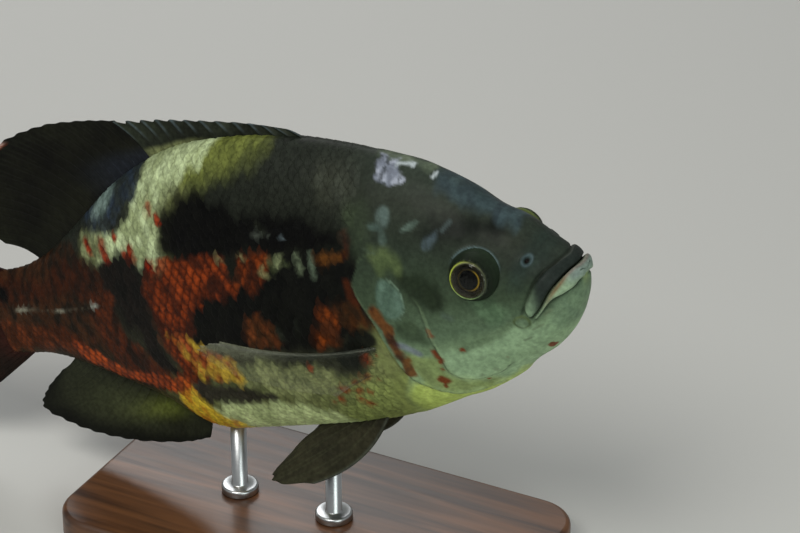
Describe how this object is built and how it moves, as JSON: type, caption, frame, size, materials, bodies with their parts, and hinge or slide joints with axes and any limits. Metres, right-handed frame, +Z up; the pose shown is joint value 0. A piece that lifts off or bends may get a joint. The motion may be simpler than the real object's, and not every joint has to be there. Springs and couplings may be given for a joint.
{
  "type": "oscar cichlid fish display model",
  "caption": "Still, life-size model of an adult oscar cichlid swimming with its head raised, on a flat wooden base with thin steel rods.",
  "frame": {"origin": "middle of the underside of the stand's base", "axes": "+Z up, +X the way the fish looks, +Y its left side"},
  "size_m": [0.306, 0.096, 0.1684],
  "materials": {
    "head_skin": "wet scaleless and finely scaled skin, semi-gloss",
    "body_skin": "wet scaled skin with black, cream and orange-red marks",
    "fin_skin": "thin rayed fins, semi-gloss",
    "eye": "clear wet cornea over an olive and gold iris",
    "stand_wood": "dark satin-varnished wood",
    "stand_steel": "brushed"
  },
  "bodies": {
    "root": {"head": "head_skin", "lower_jaw": "head_skin", "gill_cover_left": "head_skin", "gill_cover_right": "head_skin", "eye_left": "eye", "eye_right": "eye", "trunk_front": "body_skin", "trunk_rear": "body_skin", "tail_stalk": "body_skin", "dorsal_fin_spiny": "fin_skin", "dorsal_fin_soft": "fin_skin", "anal_fin": "fin_skin", "caudal_fin": "fin_skin", "pectoral_fin_left": "fin_skin", "pectoral_fin_right": "fin_skin", "pelvic_fin_left": "fin_skin", "pelvic_fin_right": "fin_skin", "stand_base": "stand_wood", "stand_rod_front": "stand_steel", "stand_rod_rear": "stand_steel"}
  },
  "joints": []
}
